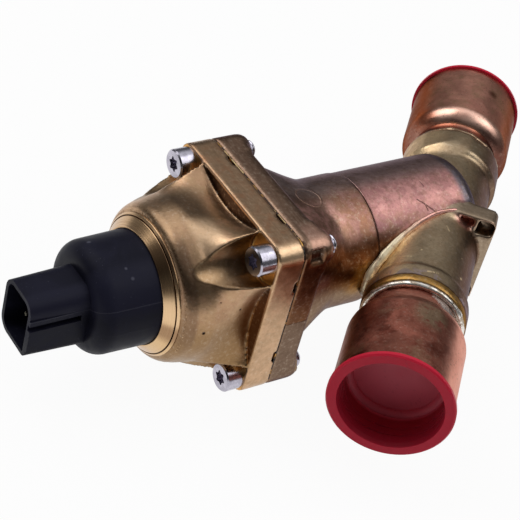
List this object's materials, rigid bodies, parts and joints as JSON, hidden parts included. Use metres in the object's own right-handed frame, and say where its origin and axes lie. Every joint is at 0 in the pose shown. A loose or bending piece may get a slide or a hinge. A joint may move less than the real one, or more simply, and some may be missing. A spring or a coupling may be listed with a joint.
{
  "type": "expansion valve",
  "caption": "Electric expansion valve with a leaning motor stem, two straight through solder ports with shipping plugs, a bolted bonnet and an open plug connector.",
  "frame": {"origin": "centre of the inlet's tube stop, on the port line", "axes": "+Y along the port line towards the outlet, +Z square to the plane that holds the port line and the stem, stem leaning towards -X and -Y"},
  "size_m": [0.1466, 0.1994, 0.0632],
  "materials": {
    "body_bronze": "as cast, heat tinted",
    "bonnet_brass": "as cast with a turned end face",
    "gasket_sheet": "matt fibre sheet",
    "screw_steel": "bright zinc plated",
    "inner_steel": "turned",
    "inner_brass": "turned",
    "seal_plastic": "turned seal plastic",
    "seal_rubber": "moulded rubber",
    "magnet": "moulded ferrite",
    "coil_copper": "wound enamelled copper wire",
    "cover_plastic": "satin moulded",
    "contact_brass": "tin plated",
    "stub_copper": "copper, oxidised by the brazing flame",
    "braze_alloy": "silver solder",
    "plug_plastic": "soft satin plastic"
  },
  "bodies": {
    "housing": {"valve_body": "body_bronze", "bonnet": "bonnet_brass", "flange_gasket": "gasket_sheet", "flange_screws": "screw_steel", "seat_ring": "inner_steel", "guide_sleeve": "inner_brass", "front_bearing": "inner_steel", "rear_bearing": "seal_plastic", "rotor_can": "inner_steel", "can_seal": "seal_rubber", "can_nut": "inner_brass", "stator_yoke": "inner_steel", "stator_coils": "coil_copper", "motor_cover": "cover_plastic", "cover_seal": "seal_rubber", "contact_pins": "contact_brass", "inlet_stub": "stub_copper", "outlet_stub": "stub_copper", "inlet_braze_ring": "braze_alloy", "outlet_braze_ring": "braze_alloy"},
    "rotor": {"lead_screw": "inner_steel", "rotor_hub": "inner_brass", "rotor_magnet": "magnet"},
    "piston": {"piston": "inner_brass", "piston_ring": "seal_plastic", "seat_seal": "seal_plastic", "seal_retainer": "inner_brass", "lead_nut": "inner_brass", "guide_pin": "inner_steel"},
    "inlet_plug": {"inlet_plug": "plug_plastic"},
    "outlet_plug": {"outlet_plug": "plug_plastic"}
  },
  "joints": [
    {"name": "rotor_turn", "type": "hinge", "parent": "housing", "child": "rotor", "pos_m": [-0.07071, 0.00949, 0], "axis": [-0.7071, -0.7071, 0], "range_deg": [0, 1800]},
    {"name": "piston_lift", "type": "slide", "parent": "housing", "child": "piston", "axis": [-0.7071, -0.7071, 0], "range_m": [0, 0.01]},
    {"name": "inlet_plug_pull", "type": "slide", "parent": "housing", "child": "inlet_plug", "axis": [0, -1, 0], "range_m": [0, 0.08]},
    {"name": "outlet_plug_pull", "type": "slide", "parent": "housing", "child": "outlet_plug", "axis": [0, 1, 0], "range_m": [0, 0.08]}
  ],
  "couplings": [
    {"joint": "rotor_turn", "follows": "piston_lift", "rad_per_m": 3141.6}
  ]
}
